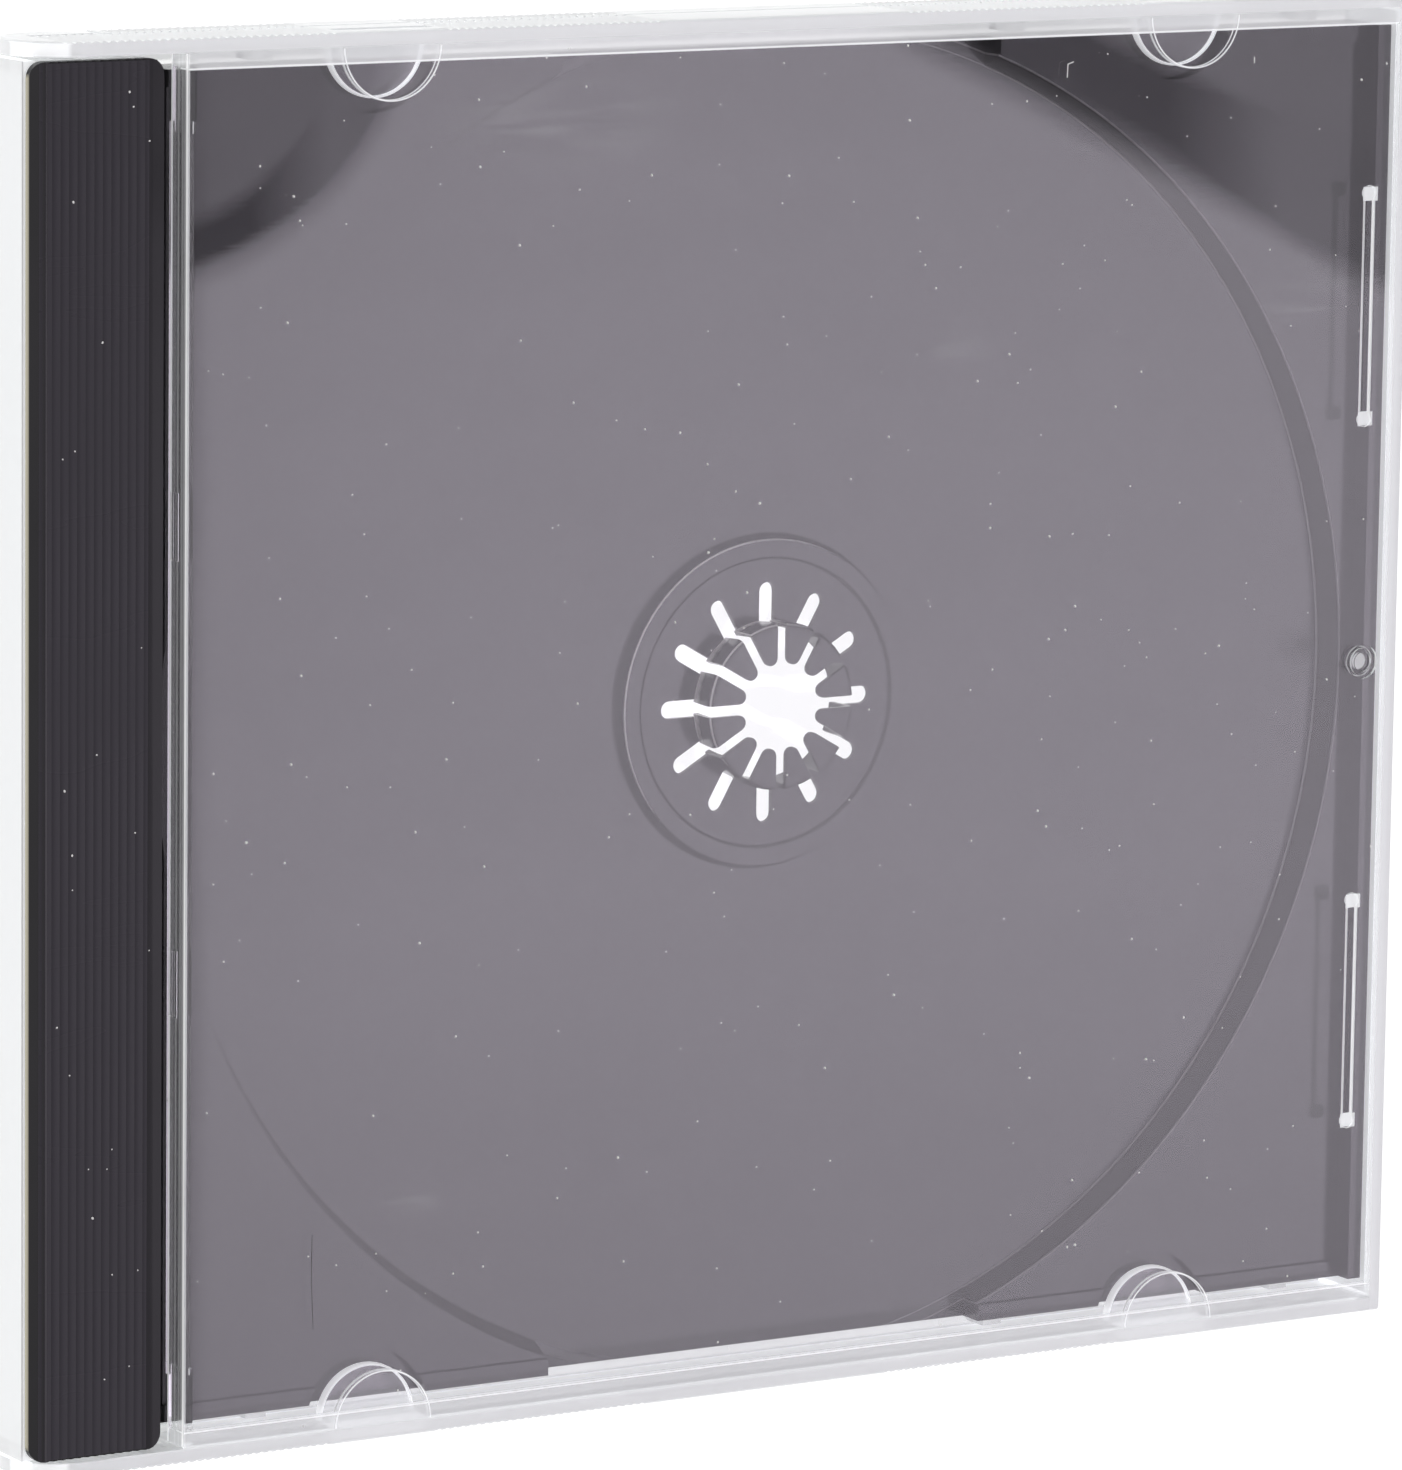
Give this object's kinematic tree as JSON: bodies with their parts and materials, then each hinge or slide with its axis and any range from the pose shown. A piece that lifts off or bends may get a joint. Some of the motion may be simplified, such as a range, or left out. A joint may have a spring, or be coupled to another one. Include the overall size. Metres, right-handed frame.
{
  "type": "cd case",
  "caption": "Closed clear disc case, hinged along one side, over a black tray with a ribbed strip, a round disc recess and a toothed hub that grips the disc.",
  "frame": {"origin": "centre of the back's outer face, on which the closed case lies", "axes": "+X from the hinge side to the opening side, +Y along the hinge, +Z from the back to the lid's outer face"},
  "size_m": [0.142, 0.124, 0.0101],
  "materials": {
    "front_lid": "clear polished polystyrene",
    "back_case": "clear polished polystyrene",
    "disc_tray": "black polystyrene, semi gloss"
  },
  "bodies": {
    "base": {"back_case": "back_case", "disc_tray": "disc_tray"},
    "lid": {"front_lid": "front_lid"}
  },
  "joints": [
    {"name": "lid_hinge", "type": "hinge", "parent": "base", "child": "lid", "pos_m": [-0.06595, 0, 0.00505], "axis": [0, -1, 0], "range_deg": [0, 180]}
  ]
}
